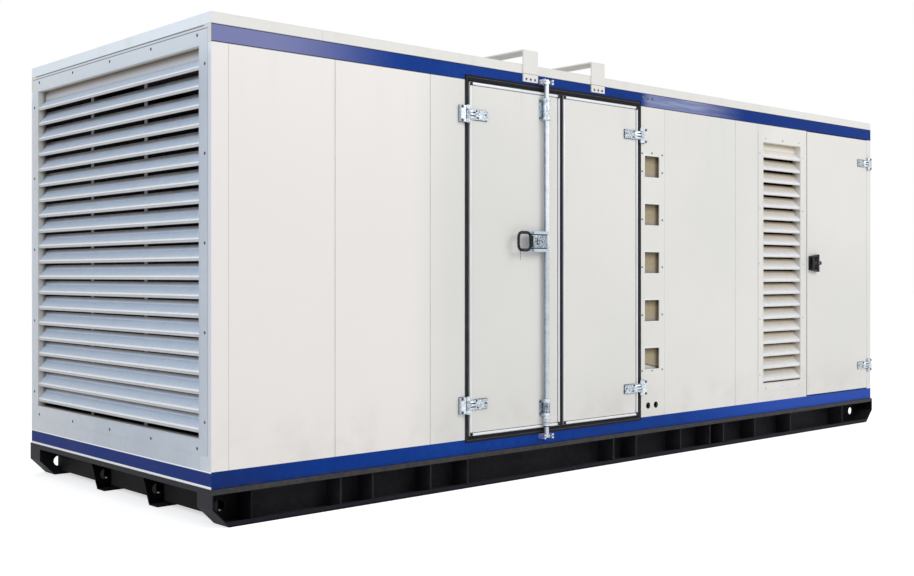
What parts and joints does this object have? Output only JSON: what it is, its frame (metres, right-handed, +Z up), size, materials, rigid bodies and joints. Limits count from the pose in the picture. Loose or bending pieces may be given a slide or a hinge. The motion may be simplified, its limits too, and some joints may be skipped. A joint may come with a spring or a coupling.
{
  "type": "diesel generator set in a container-type canopy",
  "caption": "Container-type silent canopy of a diesel generator on a steel skid, with louvred end, double side door with lock bar, side louvre, cable ports and end service door.",
  "frame": {"origin": "on the ground under the middle of the skid", "axes": "+X along the length, away from the louvred end; -Y faces the side with the doors; +Z up"},
  "size_m": [6.064, 2.232, 2.509],
  "materials": {
    "panel_paint": "satin powder coat, warm white",
    "blue_paint": "satin blue paint",
    "skid_paint": "semi-gloss black paint, dusty on top",
    "louvre_paint": "satin light grey paint",
    "seal_rubber": "matt black",
    "zinc_plate": "bright zinc plate",
    "trim_metal": "satin, almost white",
    "black_plastic": "fine-grained black",
    "port_lining": "matt tan lining"
  },
  "bodies": {
    "canopy": {"skid_rail_front": "skid_paint", "skid_rail_rear": "skid_paint", "skid_stiffeners": "skid_paint", "skid_inner_rails": "skid_paint", "skid_cross_members": "skid_paint", "floor_plate": "skid_paint", "lower_bands": "blue_paint", "upper_bands": "blue_paint", "corner_posts": "panel_paint", "panel_left_outer": "panel_paint", "panel_left_middle": "panel_paint", "panel_left_narrow": "panel_paint", "panel_right_wide": "panel_paint", "panel_right_narrow": "panel_paint", "port_plate": "panel_paint", "port_liner": "port_lining", "side_louvre_surround": "panel_paint", "side_louvre_frame": "panel_paint", "side_louvre_blades": "panel_paint", "end_louvre_surround": "louvre_paint", "end_louvre_frame": "louvre_paint", "end_louvre_blades": "louvre_paint", "end_louvre_mullions": "louvre_paint", "right_end_panels": "panel_paint", "roof_panels": "panel_paint", "roof_portals": "panel_paint", "door_frame": "panel_paint", "door_seals": "seal_rubber", "hinge_brackets": "zinc_plate", "lock_keepers": "zinc_plate", "rear_panels": "panel_paint", "rear_door_frame": "panel_paint", "rear_door_seals": "seal_rubber", "rear_door_leaves": "panel_paint", "rear_door_trims": "trim_metal", "rear_door_fittings": "zinc_plate", "rear_lock_grip": "black_plastic"},
    "left_door": {"door_left": "panel_paint", "door_left_trim": "trim_metal", "door_left_fittings": "zinc_plate"},
    "right_door": {"door_right": "panel_paint", "door_right_trim": "trim_metal", "door_right_fittings": "zinc_plate", "door_meeting_strip": "seal_rubber"},
    "lock_bar": {"lock_rod": "zinc_plate", "lock_grip": "black_plastic"},
    "end_door_leaf": {"end_door": "panel_paint", "end_door_fittings": "zinc_plate", "end_lock_body": "black_plastic"},
    "lock_paddle": {"end_lock_paddle": "black_plastic"}
  },
  "joints": [
    {"name": "left_door_hinge", "type": "hinge", "parent": "canopy", "child": "left_door", "pos_m": [-1.425, -1.072, 1.276], "axis": [0, 0, -1], "range_deg": [0, 110]},
    {"name": "right_door_hinge", "type": "hinge", "parent": "canopy", "child": "right_door", "pos_m": [0.087, -1.072, 1.276], "axis": [0, 0, 1], "range_deg": [0, 110]},
    {"name": "lock_bar_turn", "type": "hinge", "parent": "left_door", "child": "lock_bar", "pos_m": [-0.805, -1.08, 1.386], "axis": [0, 0, 1], "range_deg": [0, 90]},
    {"name": "end_door_hinge", "type": "hinge", "parent": "canopy", "child": "end_door_leaf", "pos_m": [2.974, -1.064, 1.276], "axis": [0, 0, 1], "range_deg": [0, 110]},
    {"name": "end_lock_paddle_hinge", "type": "hinge", "parent": "end_door_leaf", "child": "lock_paddle", "pos_m": [2.111, -1.079, 1.28], "axis": [0, 0, -1], "range_deg": [0, 45]}
  ]
}
